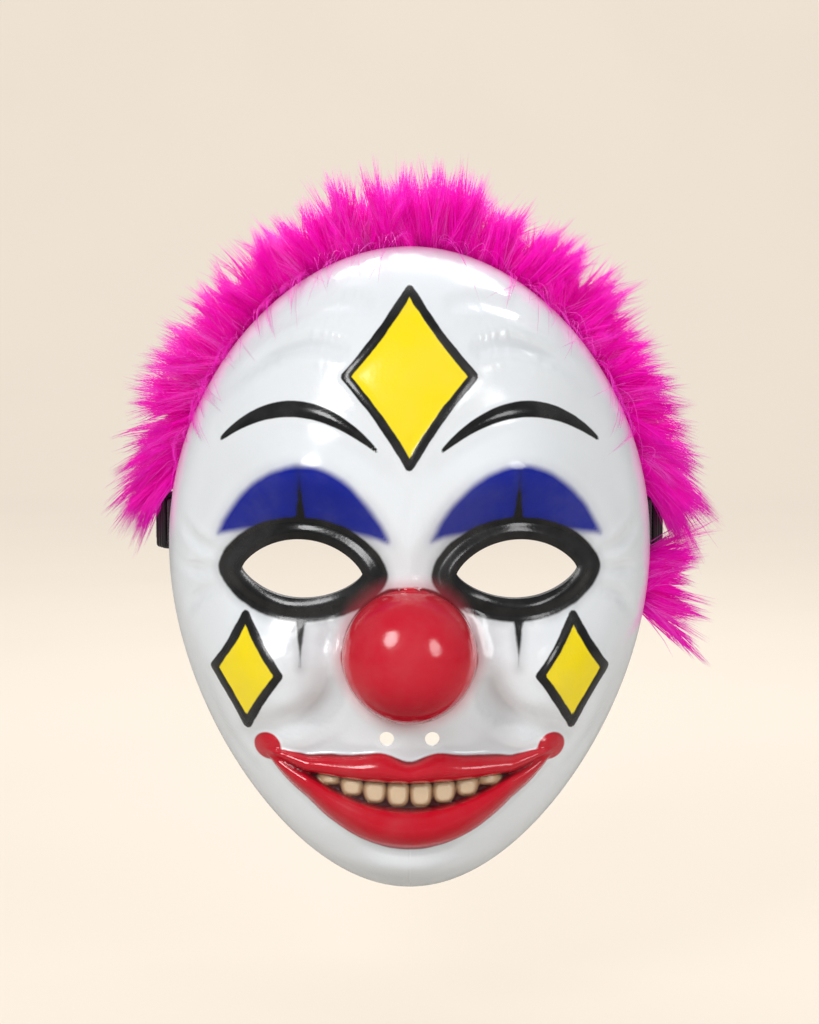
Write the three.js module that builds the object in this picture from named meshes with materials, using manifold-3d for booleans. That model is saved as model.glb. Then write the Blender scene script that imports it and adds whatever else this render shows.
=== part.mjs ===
// Carnival clown face mask: a hollow moulded plastic shell with eye holes, breathing holes and raised
// features, a deep fur trim fixed inside its rim from temple to temple, and an elastic strap round the
// back of the head that is looped through a slot at each temple and held by a plastic slide.
//
// Millimetres. +X is the viewer's right, the face looks along -Y, +Z is up. The origin is the middle of
// the open back, level with the widest part of the shell, where the wearer's head comes in.
import * as THREE from "three";
import { mergeVertices } from "three/addons/utils/BufferGeometryUtils.js";
import Module from "manifold-3d";

const wasm = await Module();
wasm.setup();

// Shell: overall sizes
const shellHalfWidth = 94.5;
const crownRise = 121; // top of the shell above the widest level
const chinDrop = 121; // bottom of the chin below the widest level
const faceDepth = 92; // the face in front of the rim, without the nose
const wall = 2;
const crownRimForward = 14; // how far the rim comes forward at the crown
const chinRimForward = 34; // and at the chin
const domeFullness = 2.35; // 2 is an ellipse, more is a fuller cheek
const upperTaper = 0.06; // widens the upper half of the outline and narrows the jaw
const endTaper = 0.1; // narrows both ends of the outline

// Shell: features
const eyeSpacing = 38.5; // middle of the face to the middle of an eye hole
const eyeLevel = 3;
const eyeHalfWidth = 22;
const eyeUpperRise = 11.5;
const eyeLowerDrop = 9.5;
const lidRise = 2.6; // the raised roll round each eye hole
const lidWidth = 6.5;
const socketDepth = 9;
const browArchRise = 6.5; // height of the brow ridge
const browArchLevel = 36; // above the eye level
const browArchSag = 15; // how far its ends drop
const browArchWidth = 8;
const noseRadius = 23.5;
const noseLevel = -25;
const noseReach = 25; // tip of the nose in front of the face
const mouthLevel = -76;
const mouthHalfWidth = 51;
const smileRise = 14; // the mouth's corners above its middle
const upperLip = 10;
const lowerLip = 15;
const lipRise = 5.5;
const mouthGapHalfWidth = 36;
const mouthGap = 9.5; // height of the parted lips at the middle
const breathingHoleRadius = 2.6;
const breathingHoleSpacing = 8;
const breathingHoleLevel = -55;

// Fur trim
const backingThickness = 1.6;
const backingInside = 8; // how much of the backing lies inside the shell
const backingBehind = 18; // and how much stands behind the rim
const furLeftEnd = 167; // degrees round the rim from the viewer's right, counted over the crown
const furRightEnd = -10;
const lockLength = 33;
const lockHalfWidth = 7.5;
const lockHalfThickness = 4;
const lockPitch = 15.5; // along the rim

// Strap
const strapWidth = 18;
const strapThickness = 1.4;
const strapLevel = 13;
const strapReach = 100; // back of the loop behind the rim
const strapHalfSpan = 104.5; // half the loop's widest span
const slotWidth = 3.2;
const slotEdge = 5; // rim strip between the slot and the rim
const slideLength = 11;
const slideHeight = 23;
const slideThickness = 5.8;
const slideFromLoop = 2.5; // from the end of the loop to the slide

// Clearances
const gap = 0.3;
const trimSeat = 0.75; // between the curved wall and the straight backing
const loopSlack = 0.5; // between the curved wall and the strap's flat loop
const slideSlack = 0.5; // each side of the folded band in its slide

const shellHalfHeight = (crownRise + chinDrop) / 2;
const shellMiddle = (crownRise - chinDrop) / 2;

// Soft swells and hollows of the face. Across and wide are shares of the half width, up and tall of the
// half height from the middle, and rise of the face's depth. All but those in the middle are mirrored.
const swells = [
  { name: "forehead", across: 0, up: 0.55, wide: 0.5, tall: 0.24, rise: 0.035 },
  { name: "nose bridge", across: 0, up: 0.02, wide: 0.12, tall: 0.17, rise: 0.11 },
  { name: "cheek", across: 0.56, up: -0.26, wide: 0.21, tall: 0.15, rise: 0.095 },
  { name: "temple", across: 0.76, up: 0.32, wide: 0.16, tall: 0.2, rise: -0.03 },
  { name: "smile fold", across: 0.31, up: -0.38, wide: 0.075, tall: 0.1, rise: -0.05 },
  { name: "under lip", across: 0, up: -0.81, wide: 0.24, tall: 0.035, rise: -0.03 },
  { name: "chin", across: 0, up: -0.88, wide: 0.24, tall: 0.09, rise: 0.1 },
];

const clamp01 = (t) => Math.min(1, Math.max(0, t));
const smoothStep = (low, high, t) => {
  const s = clamp01((t - low) / (high - low));
  return s * s * (3 - 2 * s);
};
const bell = (t) => Math.exp(-0.5 * t * t);

// The outline of the shell is an ellipse whose width is trimmed by height
const outlineTrim = (up) => 1 + upperTaper * up - endTaper * up * up;
const rimForward = (up) => (up > 0 ? crownRimForward : chinRimForward) * up * up;

const eyeHoleRise = (across) => {
  const share = Math.min(1, Math.abs(across) / eyeHalfWidth);
  return Math.pow(1 - share * share, 0.75);
};
// A point on the eye hole's edge at a turn from the viewer's right, from the middle of the eye
const eyeEdge = (turn) => {
  const across = eyeHalfWidth * Math.cos(turn);
  const rise = Math.sin(turn) > 0 ? eyeUpperRise : -eyeLowerDrop;
  return new THREE.Vector2(across, rise * eyeHoleRise(across));
};

const mouthLine = (x) => mouthLevel + smileRise * (x / mouthHalfWidth) ** 2;
const lipShare = (x) => Math.sqrt(Math.max(0, 1 - (x / mouthHalfWidth) ** 2));
const mouthGapAt = (x) => (mouthGap / 2) * Math.pow(Math.max(0, 1 - (x / mouthGapHalfWidth) ** 2), 0.6);

// Height of the moulded features over the plain dome
function relief(x, z) {
  const across = Math.abs(x);
  let height = 0;
  for (const swell of swells) {
    const up = bell((z - shellMiddle - swell.up * shellHalfHeight) / (swell.tall * shellHalfHeight));
    const side = bell((across - swell.across * shellHalfWidth) / (swell.wide * shellHalfWidth));
    height += swell.rise * faceDepth * up * side;
  }
  const eyeAcross = across - eyeSpacing;
  const eyeUp = z - eyeLevel;
  height -= socketDepth * bell(eyeAcross / (1.25 * eyeHalfWidth)) * bell(eyeUp / (1.5 * eyeUpperRise));
  const browLine = browArchLevel - browArchSag * (eyeAcross / (1.4 * eyeHalfWidth)) ** 2;
  const brow = bell((eyeUp - browLine) / browArchWidth) * bell(eyeAcross / (1.1 * eyeHalfWidth));
  height += browArchRise * brow;
  return height;
}

// A point of the face. p and q run from -1 to 1 over the disc inside the rim; inset is the depth into
// the wall.
function facePoint(p, q, inset) {
  const radius = Math.min(1, Math.hypot(p, q));
  const x = (shellHalfWidth - inset) * outlineTrim(q) * p;
  const z = shellMiddle + (shellHalfHeight - inset) * q;
  const dome = Math.pow(1 - Math.pow(radius, domeFullness), 1 / domeFullness);
  const plain = rimForward(q) + (faceDepth - inset) * dome;
  return new THREE.Vector3(x, -plain - relief(x, z) * (1 - smoothStep(0.82, 0.97, radius)), z);
}

// How far the face stands in front of the widest level
const faceHeight = (x, z) => {
  const q = (z - shellMiddle) / shellHalfHeight;
  return -facePoint(x / (shellHalfWidth * outlineTrim(q)), q, 0).y;
};

// A point on the rim at a turn from the viewer's right, moved in by inset and back by behind
function rimPoint(turn, inset, behind) {
  const q = Math.sin(turn);
  const x = (shellHalfWidth - inset) * outlineTrim(q) * Math.cos(turn);
  const z = shellMiddle + (shellHalfHeight - inset) * q;
  return new THREE.Vector3(x, behind - rimForward(q), z);
}

// Geometry from a list of points and a list of triangles
function meshOf(points, faces) {
  const geometry = new THREE.BufferGeometry();
  const positions = points.flatMap((point) => [point.x, point.y, point.z]);
  geometry.setAttribute("position", new THREE.Float32BufferAttribute(positions, 3));
  geometry.setIndex(faces.flat());
  return geometry;
}

// A three.js geometry as a closed solid that can be cut and joined, and back again
function solidOf(geometry) {
  const bare = geometry.clone();
  bare.deleteAttribute("normal");
  bare.deleteAttribute("uv");
  const merged = mergeVertices(bare, 1e-4);
  const made = new wasm.Mesh({
    numProp: 3,
    vertProperties: new Float32Array(merged.attributes.position.array),
    triVerts: new Uint32Array(merged.index.array),
  });
  return new wasm.Manifold(made);
}

function geometryOf(solid) {
  const made = solid.getMesh();
  const geometry = new THREE.BufferGeometry();
  geometry.setAttribute("position", new THREE.BufferAttribute(made.vertProperties, 3));
  geometry.setIndex(new THREE.BufferAttribute(made.triVerts, 1));
  return geometry;
}

// A tube through loops of points, all alike in count, capped at both ends or closed into a ring; the
// loops run anticlockwise as seen from the last one
function loft(loops, ring = false) {
  const count = loops[0].length;
  const points = loops.flat();
  const faces = [];
  for (let k = 0; k < loops.length - (ring ? 0 : 1); k++) {
    const next = ((k + 1) % loops.length) * count;
    for (let i = 0; i < count; i++) {
      const j = (i + 1) % count;
      faces.push([k * count + i, k * count + j, next + j], [k * count + i, next + j, next + i]);
    }
  }
  const last = (loops.length - 1) * count;
  for (let i = 1; i + 1 < count && !ring; i++) {
    faces.push([0, i + 1, i], [last, last + i, last + i + 1]);
  }
  return meshOf(points, faces);
}

const rootDepth = 2 * wall; // how deep lips and lids are rooted in the face
const edgeSink = 2.4; // and how deep their edges enter it

// The solid in front of the rim at a depth into the wall, with a tail that runs out behind the rim
function faceForm(inset, tail) {
  const columns = 26;
  const rows = 34;
  const points = [];
  const faces = [];
  for (let j = 0; j <= rows; j++) {
    for (let i = 0; i <= columns; i++) {
      const u = (2 * i) / columns - 1;
      const v = (2 * j) / rows - 1;
      const p = u * Math.sqrt(1 - (v * v) / 2);
      const q = v * Math.sqrt(1 - (u * u) / 2);
      const out = Math.hypot(p, q);
      const scale = out > 0 ? Math.sin((out * Math.PI) / 2) / out : 1;
      points.push(facePoint(p * scale, q * scale, inset));
    }
  }
  const at = (i, j) => j * (columns + 1) + i;
  for (let j = 0; j < rows; j++) {
    for (let i = 0; i < columns; i++) {
      const [a, b, c, d] = [at(i, j), at(i + 1, j), at(i + 1, j + 1), at(i, j + 1)];
      faces.push([a, b, c], [a, c, d]);
    }
  }
  const rim = [];
  for (let i = 0; i < columns; i++) rim.push(at(i, 0));
  for (let j = 0; j < rows; j++) rim.push(at(columns, j));
  for (let i = columns; i > 0; i--) rim.push(at(i, rows));
  for (let j = rows; j > 0; j--) rim.push(at(0, j));
  let back = rim;
  if (tail > 0) {
    back = rim.map((a) => points.push(points[a].clone().setY(points[a].y + tail)) - 1);
    rim.forEach((a, k) => {
      const next = (k + 1) % rim.length;
      faces.push([rim[next], a, back[k]], [rim[next], back[k], back[next]]);
    });
  }
  const middle = points.push(new THREE.Vector3(0, tail, shellMiddle)) - 1;
  back.forEach((a, k) => faces.push([back[(k + 1) % back.length], a, middle]));
  return meshOf(points, faces);
}

// One lip, above or below the mouth's line, at a depth into the wall: a roll that is rooted in the face
function lip(side, inset) {
  const steps = 12;
  const halfWidth = mouthHalfWidth - 1 - 4 * inset;
  const fullness = side > 0 ? upperLip : lowerLip;
  const shares = side > 0 ? [0, 0.15, 0.5, 0.85, 1] : [1, 0.85, 0.5, 0.15, 0];
  const loops = [];
  for (let k = 0; k <= steps; k++) {
    const x = halfWidth * Math.sin((k / steps - 0.5) * Math.PI);
    const reach = fullness * Math.pow(lipShare(x), 1.1) - 2 * inset;
    const point = (share, lift) => {
      const z = mouthLine(x) + side * (mouthGapAt(x) + inset + reach * share);
      return new THREE.Vector3(x, inset - faceHeight(x, z) - lift, z);
    };
    const roll = lipRise * Math.pow(lipShare(x), 0.6);
    const profile = (share) => (roll + edgeSink) * Math.pow(Math.sin(Math.PI * share), 0.8) - edgeSink;
    const front = shares.map((share) => point(share, profile(share)));
    const root = [shares[0], shares[shares.length - 1]].map((share) => point(share, -rootDepth));
    loops.push([...root, ...front.reverse()]);
  }
  return loft(loops);
}

// The roll round an eye hole, a ring that is rooted in the face
function lidRoll(side) {
  const steps = 22;
  const section = [
    { out: -1, lift: 0.75 },
    { out: 0.3 * lidWidth, lift: 1 },
    { out: 0.7 * lidWidth, lift: 0.65 },
    { out: lidWidth, lift: -edgeSink / lidRise },
    { out: lidWidth, lift: -rootDepth / lidRise },
    { out: -1, lift: -rootDepth / lidRise },
  ];
  const loops = [];
  for (let k = 0; k < steps; k++) {
    const turn = (2 * Math.PI * (k + 0.5)) / steps;
    const along = eyeEdge(turn + 0.02).sub(eyeEdge(turn - 0.02)).normalize();
    loops.push(
      section.map(({ out, lift }) => {
        const spot = eyeEdge(turn).add(new THREE.Vector2(along.y, -along.x).multiplyScalar(out));
        const x = side * eyeSpacing + spot.x;
        const z = eyeLevel + spot.y;
        return new THREE.Vector3(x, -faceHeight(x, z) - lift * lidRise, z);
      }),
    );
  }
  return loft(loops, true);
}

// Face shell: the outer form less the inner one, both with nose and lips, and the holes cut through
function faceShell() {
  const noseMiddle = noseRadius - noseReach - faceHeight(0, noseLevel);
  const [outer, inner] = [0, wall].map((inset) => {
    const ball = new THREE.SphereGeometry(noseRadius - inset, 20, 12);
    ball.translate(0, noseMiddle, noseLevel);
    const form = faceForm(inset, inset * backingBehind);
    const features = [ball, lip(1, inset), lip(-1, inset)];
    return features.reduce((sum, piece) => sum.add(solidOf(piece)), solidOf(form));
  });

  let shell = outer.add(solidOf(lidRoll(1))).add(solidOf(lidRoll(-1))).subtract(inner);
  for (const side of [-1, 1]) {
    const eyeSteps = 28;
    const outline = Array.from({ length: eyeSteps }, (_, k) => eyeEdge((2 * Math.PI * k) / eyeSteps));
    const throughFace = { depth: faceDepth, bevelEnabled: false };
    const eye = new THREE.ExtrudeGeometry(new THREE.Shape(outline), throughFace);
    eye.rotateX(Math.PI / 2);
    eye.translate(side * eyeSpacing, -faceDepth / 2, eyeLevel);
    const breath = new THREE.CylinderGeometry(breathingHoleRadius, breathingHoleRadius, faceDepth, 12);
    breath.translate(side * breathingHoleSpacing, -faceDepth, breathingHoleLevel);
    const slot = new THREE.BoxGeometry(shellHalfWidth / 2, slotWidth, strapWidth + 2);
    slot.translate(side * shellHalfWidth, -slotEdge - slotWidth / 2, strapLevel);
    for (const cut of [eye, breath, slot]) shell = shell.subtract(solidOf(cut));
  }
  return geometryOf(shell);
}

// Fur trim: a cloth backing inside the rim, with rows of locks fused to the part that stands behind the rim
const lockRows = [
  { behind: 0.38, lean: -0.22, length: 0.9, shift: 0 },
  { behind: 0.6, lean: 0.1, length: 1, shift: 0.5 },
  { behind: 0.82, lean: 0.42, length: 0.92, shift: 0.2 },
];

function furTrim() {
  const start = THREE.MathUtils.degToRad(furRightEnd);
  const end = THREE.MathUtils.degToRad(furLeftEnd);
  const steps = 40;
  const outer = wall + trimSeat;
  const inner = outer + backingThickness;
  const loops = [];
  for (let k = 0; k <= steps; k++) {
    const turn = start + ((end - start) * k) / steps;
    loops.push([
      rimPoint(turn, outer, -backingInside),
      rimPoint(turn, outer, backingBehind),
      rimPoint(turn, inner, backingBehind),
      rimPoint(turn, inner, -backingInside),
    ]);
  }
  let trim = solidOf(loft(loops));

  // The strap's loop passes through a notch in the backing
  const notch = new THREE.BoxGeometry(shellHalfWidth / 2, 2 * backingInside + 2 * slotEdge, strapWidth + 4);
  notch.translate(shellHalfWidth, -slotEdge / 2, strapLevel);
  trim = trim.subtract(solidOf(notch));

  const rimLength = (end - start) * (shellHalfWidth + shellHalfHeight) / 2;
  const count = Math.round(rimLength / lockPitch);
  const locks = [];
  for (const row of lockRows) {
    for (let k = 0; k < count; k++) {
      const turn = start + ((end - start) * (k + 0.3 + 0.4 * row.shift)) / count;
      const root = rimPoint(turn, outer + backingThickness / 2, backingBehind * row.behind);
      const clearOfStrap = Math.abs(root.z - strapLevel) > slideHeight / 2 + lockHalfWidth;
      if (clearOfStrap) locks.push(solidOf(furLock(turn, root, row, k)));
    }
  }
  for (const lock of locks) trim = trim.add(lock);

  // The locks above the strap are pressed short where it lies
  for (const side of [-1, 1]) {
    const press = new THREE.BoxGeometry(2 * lockLength, 3 * backingBehind, slideHeight + 2 * gap);
    const backingFace = shellHalfWidth - outer;
    press.translate(side * (backingFace + gap + lockLength), 0, strapLevel);
    trim = trim.subtract(solidOf(press));
  }
  return geometryOf(trim);
}

// One lock: a flat cone that leaves the backing, turns down with its weight and ends in a point
function furLock(turn, root, row, number) {
  const outward = rimPoint(turn, 0, 0).sub(rimPoint(turn, 10, 0)).normalize();
  const along = rimPoint(turn + 0.01, 0, 0).sub(rimPoint(turn - 0.01, 0, 0)).normalize();
  const swing = 0.28 * Math.sin(number * 2.4 + row.shift * 5);
  const length = lockLength * row.length * (1 + 0.14 * Math.sin(number * 1.7 + row.lean * 9));
  const droop = 0.45 * Math.cos(turn) ** 2;
  const aim = outward.clone().addScaledVector(along, swing);
  aim.y += row.lean;
  aim.z -= droop;
  aim.normalize();
  const thick = new THREE.Vector3().crossVectors(aim, along).normalize();
  const wide = new THREE.Vector3().crossVectors(thick, aim).normalize();
  const sections = [
    { out: -0.02, size: 0.9 },
    { out: 0.5, size: 0.78 },
    { out: 1, size: 0.07 },
  ];
  const sides = 4;
  return loft(
    sections.map((section) => {
      const middle = root.clone().addScaledVector(aim, length * section.out);
      middle.z -= droop * length * 0.25 * section.out ** 2;
      const ring = [];
      for (let s = 0; s < sides; s++) {
        const a = (2 * Math.PI * s) / sides;
        ring.push(
          middle
            .clone()
            .addScaledVector(wide, lockHalfWidth * section.size * Math.cos(a))
            .addScaledVector(thick, lockHalfThickness * section.size * Math.sin(a)),
        );
      }
      return ring;
    }),
  );
}

// Strap: the wall at the strap's level, and the middle of the band from the rim to the back of the head
const strapWallAt = (z, inset) => {
  const q = (z - shellMiddle) / (shellHalfHeight - inset);
  return (shellHalfWidth - inset) * outlineTrim(q) * Math.sqrt(1 - q * q);
};
const wallOutside = Math.max(strapWallAt(strapLevel - strapWidth / 2, 0), strapWallAt(strapLevel, 0));
const wallInside = strapWallAt(strapLevel + strapWidth / 2, wall);
const loopClosing = { x: wallOutside + loopSlack + strapThickness / 2, y: 5 }; // where its layers meet
const bandDouble = 2 * strapThickness + gap / 2; // folded end and band together
const foldLength = 26;

const leadLength = 15; // the straight stretch that the slide holds
const leadOutward = 0.5; // how far it leans out, for each millimetre back

// Points of the right half of the band's middle, from the rim to the back of the head
const strapHalf = [
  ...[0, 0.33, 0.67, 1].map((share) => ({
    out: loopClosing.x + share * leadLength * leadOutward,
    back: loopClosing.y + share * leadLength,
  })),
  ...[10, 26, 44, 64].map((degrees) => {
    const turn = THREE.MathUtils.degToRad(degrees);
    const start = loopClosing.y + leadLength + 4;
    return { out: strapHalfSpan * Math.cos(turn), back: start + (strapReach - start) * Math.sin(turn) };
  }),
];
const strapRoute = new THREE.CatmullRomCurve3(
  [
    ...strapHalf,
    { out: 0, back: strapReach },
    ...[...strapHalf].reverse().map((point) => ({ out: -point.out, back: point.back })),
  ].map((point) => new THREE.Vector3(point.out, point.back, strapLevel)),
);

// Elastic strap: one band, folded through the slot at each end, extruded over its width
function elasticStrap() {
  const steps = 56;
  const length = strapRoute.getLength();
  const outerSide = [];
  const innerSide = [];
  for (let k = 0; k <= steps; k++) {
    const share = k / steps;
    const point = strapRoute.getPointAt(share);
    const along = strapRoute.getTangentAt(share);
    const side = new THREE.Vector2(along.y, -along.x);
    const fromEnd = Math.min(share, 1 - share) * length;
    const inward = fromEnd < foldLength ? bandDouble - strapThickness / 2 : strapThickness / 2;
    outerSide.push(new THREE.Vector2(point.x, point.y).addScaledVector(side, strapThickness / 2));
    innerSide.push(new THREE.Vector2(point.x, point.y).addScaledVector(side, -inward));
  }
  // The loop at a temple, from the outside layer forward, in through the slot and back inside the wall
  const outX = wallOutside + loopSlack;
  const inX = wallInside - loopSlack;
  const turnY = -slotEdge - gap;
  const loop = [
    { x: outX + strapThickness, y: turnY + 0.6 },
    { x: outX + 0.5, y: turnY - strapThickness },
    { x: inX - 0.5, y: turnY - strapThickness },
    { x: inX - strapThickness, y: turnY + 0.6 },
    { x: inX - strapThickness, y: gap + 1.2 },
  ];
  const outline = [
    ...outerSide,
    ...[...loop].map((point) => new THREE.Vector2(-point.x, point.y)),
    ...[...innerSide].reverse(),
    ...[...loop].reverse().map((point) => new THREE.Vector2(point.x, point.y)),
  ];
  const shape = new THREE.Shape(outline);
  for (const side of [-1, 1]) {
    const hole = [
      { x: outX, y: turnY },
      { x: inX, y: turnY },
      { x: inX, y: gap + 0.4 },
      { x: (inX + outX) / 2 + 0.4, y: gap + 1.6 },
      { x: outX, y: gap + 1.9 },
    ];
    shape.holes.push(new THREE.Path(hole.map((point) => new THREE.Vector2(side * point.x, point.y))));
  }
  const band = new THREE.ExtrudeGeometry(shape, { depth: strapWidth, bevelEnabled: false });
  band.translate(0, 0, strapLevel - strapWidth / 2);
  return band;
}

// Strap slide: a moulded frame round the folded band, just behind the rim
function strapSlide() {
  const channelHeight = strapWidth + 2 * gap;
  const channelThickness = bandDouble + 2 * slideSlack;
  const rectangle = (halfTall, halfThick) => [
    new THREE.Vector2(-halfThick, -halfTall),
    new THREE.Vector2(halfThick, -halfTall),
    new THREE.Vector2(halfThick, halfTall),
    new THREE.Vector2(-halfThick, halfTall),
  ];
  const shape = new THREE.Shape(rectangle(slideHeight / 2, slideThickness / 2));
  shape.holes.push(new THREE.Path(rectangle(channelHeight / 2, channelThickness / 2)));
  const frame = new THREE.ExtrudeGeometry(shape, { depth: slideLength, bevelEnabled: false });
  frame.translate(0, 0, -slideLength / 2);
  return frame;
}

const materials = {
  shell: new THREE.MeshStandardMaterial({ color: 0xe9ecef, roughness: 0.18, metalness: 0 }),
  fur: new THREE.MeshStandardMaterial({ color: 0xe6069f, roughness: 0.85, metalness: 0 }),
  strap: new THREE.MeshStandardMaterial({ color: 0x161417, roughness: 0.8, metalness: 0 }),
  slide: new THREE.MeshStandardMaterial({ color: 0x0d0d0e, roughness: 0.35, metalness: 0 }),
};

const mask = new THREE.Group();

function place(name, geometry, material) {
  const mesh = new THREE.Mesh(geometry, material);
  mesh.name = name;
  mask.add(mesh);
  return mesh;
}

place("face_shell", faceShell(), materials.shell);
place("fur_trim", furTrim(), materials.fur);
place("elastic_strap", elasticStrap(), materials.strap);
for (const [name, share] of [
  ["strap_slide_right", 1],
  ["strap_slide_left", -1],
]) {
  const fromEnd = (slideFromLoop + slideLength / 2) / strapRoute.getLength();
  const at = share > 0 ? fromEnd : 1 - fromEnd;
  const slide = place(name, strapSlide(), materials.slide);
  const along = strapRoute.getTangentAt(at);
  const side = new THREE.Vector3(along.y, -along.x, 0);
  const middle = strapRoute.getPointAt(at).addScaledVector(side, -(bandDouble - strapThickness) / 2);
  slide.matrixAutoUpdate = false;
  slide.matrix.makeBasis(side, new THREE.Vector3(0, 0, 1), side.clone().cross(new THREE.Vector3(0, 0, 1)));
  slide.matrix.setPosition(middle);
}

export default mask;
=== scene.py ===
import math

import bmesh
import bpy
import numpy as np
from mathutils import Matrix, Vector


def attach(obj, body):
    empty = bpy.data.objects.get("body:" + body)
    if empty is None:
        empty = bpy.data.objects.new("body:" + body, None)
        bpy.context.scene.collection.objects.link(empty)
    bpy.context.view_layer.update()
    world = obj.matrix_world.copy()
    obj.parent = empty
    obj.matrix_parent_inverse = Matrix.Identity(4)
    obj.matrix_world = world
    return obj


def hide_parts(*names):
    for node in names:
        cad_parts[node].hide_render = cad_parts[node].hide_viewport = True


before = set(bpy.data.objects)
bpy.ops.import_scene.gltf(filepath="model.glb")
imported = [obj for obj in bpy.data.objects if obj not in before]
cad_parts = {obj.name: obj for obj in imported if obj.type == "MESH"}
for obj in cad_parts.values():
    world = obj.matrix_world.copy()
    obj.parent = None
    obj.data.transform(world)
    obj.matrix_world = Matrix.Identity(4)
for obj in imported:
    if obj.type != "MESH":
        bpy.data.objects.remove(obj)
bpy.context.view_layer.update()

scene = bpy.context.scene

# Studio. The mask hangs free over a plain sweep of cream paper. Two large round soft boxes in front light
# it, a strip light behind catches the pile, and one more light falls on the paper. The camera looks down a
# little.
mm = 0.001
floor_level = -169 * mm
camera_distance = 719 * mm
camera_rise = math.radians(5)
camera_aim = Vector((0, 0, 17)) * mm
camera_lens = 63.3
pale_cream = (0.86, 0.78, 0.67, 1)

scene.view_settings.view_transform = "Standard"

camera = bpy.data.objects.new("camera", bpy.data.cameras.new("camera"))
camera.data.lens = camera_lens
back_from_aim = Vector((0, -math.cos(camera_rise), math.sin(camera_rise)))
camera.location = camera_aim + camera_distance * back_from_aim
camera.rotation_euler = (-back_from_aim).to_track_quat("-Z", "Y").to_euler()
scene.collection.objects.link(camera)
scene.camera = camera


def plug(socket, value):
    """Links another node's output to a socket, or sets the socket's value"""
    if isinstance(value, bpy.types.NodeSocket):
        socket.id_data.links.new(value, socket)
    else:
        socket.default_value = value


def set_sockets(node, **sockets):
    """Fills a node's sockets, each named with _ for a space"""
    for name, value in sockets.items():
        plug(node.inputs[name.replace("_", " ")], value)
    return node


def add_node(tree, kind, settings=None, **sockets):
    """A shader node with its settings and sockets"""
    made = tree.nodes.new(kind)
    for name, value in (settings or {}).items():
        setattr(made, name, value)
    return set_sockets(made, **sockets)


def split_rays(tree, kind, others, these):
    """One shader for a kind of ray, and another for all the others"""
    rays = add_node(tree, "ShaderNodeLightPath").outputs[kind]
    split = add_node(tree, "ShaderNodeMixShader")
    for socket, value in zip(split.inputs, (rays, others, these)):
        plug(socket, value)
    return split.outputs[0]


def room_glow(tree, color, strength):
    return add_node(tree, "ShaderNodeBackground", Color=color, Strength=strength).outputs[0]


# The room's light is even and neutral, and dimmer in reflections; the camera sees the room itself as cream
world = bpy.data.worlds.new("pale_room")
world.use_nodes = True
room = world.node_tree
daylight = (0.95, 0.97, 1, 1)
unseen = split_rays(room, "Is Glossy Ray", room_glow(room, daylight, 0.44), room_glow(room, daylight, 0.24))
surface = split_rays(room, "Is Camera Ray", unseen, room_glow(room, pale_cream, 1))
plug(room.nodes["World Output"].inputs["Surface"], surface)
scene.world = world

# size in metres, power in watts
soft_boxes = {
    "key_left": {"at": (-1.15, -1.55, 1.35), "size": (0.85, 1.1), "power": 27.5},
    "fill_right": {"at": (1.5, -1.5, 0.75), "size": (0.7, 1.0), "power": 12.0},
    "strip_behind": {"at": (0.1, 0.75, 0.95), "size": (1.1, 0.3), "power": 14.0},
    "on_paper": {"at": (0, 1.1, 2.1), "size": (2.0, 0.8), "power": 17.0, "toward": (0, 3.1, 0.7)},
}
for name, box in soft_boxes.items():
    light = bpy.data.lights.new(name, "AREA")
    light.shape = "ELLIPSE"
    light.size, light.size_y = box["size"]
    light.energy = box["power"]
    lamp = bpy.data.objects.new(name, light)
    lamp.location = box["at"]
    toward = Vector(box.get("toward", (0, 0, 0))) - Vector(box["at"])
    lamp.rotation_euler = toward.to_track_quat("-Z", "Y").to_euler()
    lamp.visible_camera = False
    scene.collection.objects.link(lamp)


def link_mesh(name, points, faces):
    """A new smooth object in the scene, from points in millimetres"""
    mesh = bpy.data.meshes.new(name)
    mesh.from_pydata((np.asarray(points) * mm).tolist(), [], faces)
    mesh.polygons.foreach_set("use_smooth", [True] * len(mesh.polygons))
    made = bpy.data.objects.new(name, mesh)
    scene.collection.objects.link(made)
    return made


def new_material(name):
    """An empty node material, its tree and its shader"""
    material = bpy.data.materials.new(name)
    material.use_nodes = True
    tree = material.node_tree
    return material, tree, tree.nodes["Principled BSDF"]


def object_place(tree):
    return add_node(tree, "ShaderNodeTexCoord").outputs["Object"]


def noise_of(tree, scale, detail=2.0, roughness=0.5, place=None):
    """A noise value over the object, with scale in waves per metre"""
    made = add_node(tree, "ShaderNodeTexNoise", Vector=place or object_place(tree), Scale=scale)
    return set_sockets(made, Detail=detail, Roughness=roughness).outputs["Fac"]


def ramp_of(value, low, high, low_gives=0.0, high_gives=1.0):
    """Value taken smoothly from one range to another"""
    made = add_node(value.id_data, "ShaderNodeMapRange", {"interpolation_type": "SMOOTHSTEP"})
    set_sockets(made, Value=value, From_Min=low, From_Max=high, To_Min=low_gives, To_Max=high_gives)
    return made.outputs["Result"]


def paint_over(mask, under, over):
    """Colour over laid on colour under where mask is 1"""
    made = add_node(mask.id_data, "ShaderNodeMix", {"data_type": "RGBA"})
    for socket, value in zip((made.inputs[0], made.inputs[6], made.inputs[7]), (mask, under, over)):
        plug(socket, value)
    return made.outputs[2]


# The sweep lies flat, bends up behind the mask and runs on straight up
paper_front = -4000
paper_bend = 2200
bend_radius = 900
paper_top = 4000
paper_half_width = 5000
profile = [(paper_front, 0)]
for turn in np.linspace(0, np.pi / 2, 24):
    profile.append((paper_bend + bend_radius * math.sin(turn), bend_radius * (1 - math.cos(turn))))
profile.append((paper_bend + bend_radius, paper_top))
points = [(x, y, z) for x in (-paper_half_width, paper_half_width) for y, z in profile]
count = len(profile)
faces = [(count + i, count + i + 1, i + 1, i) for i in range(count - 1)]
floor = link_mesh("paper_sweep", points, faces)
floor.location.z = floor_level
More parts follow.
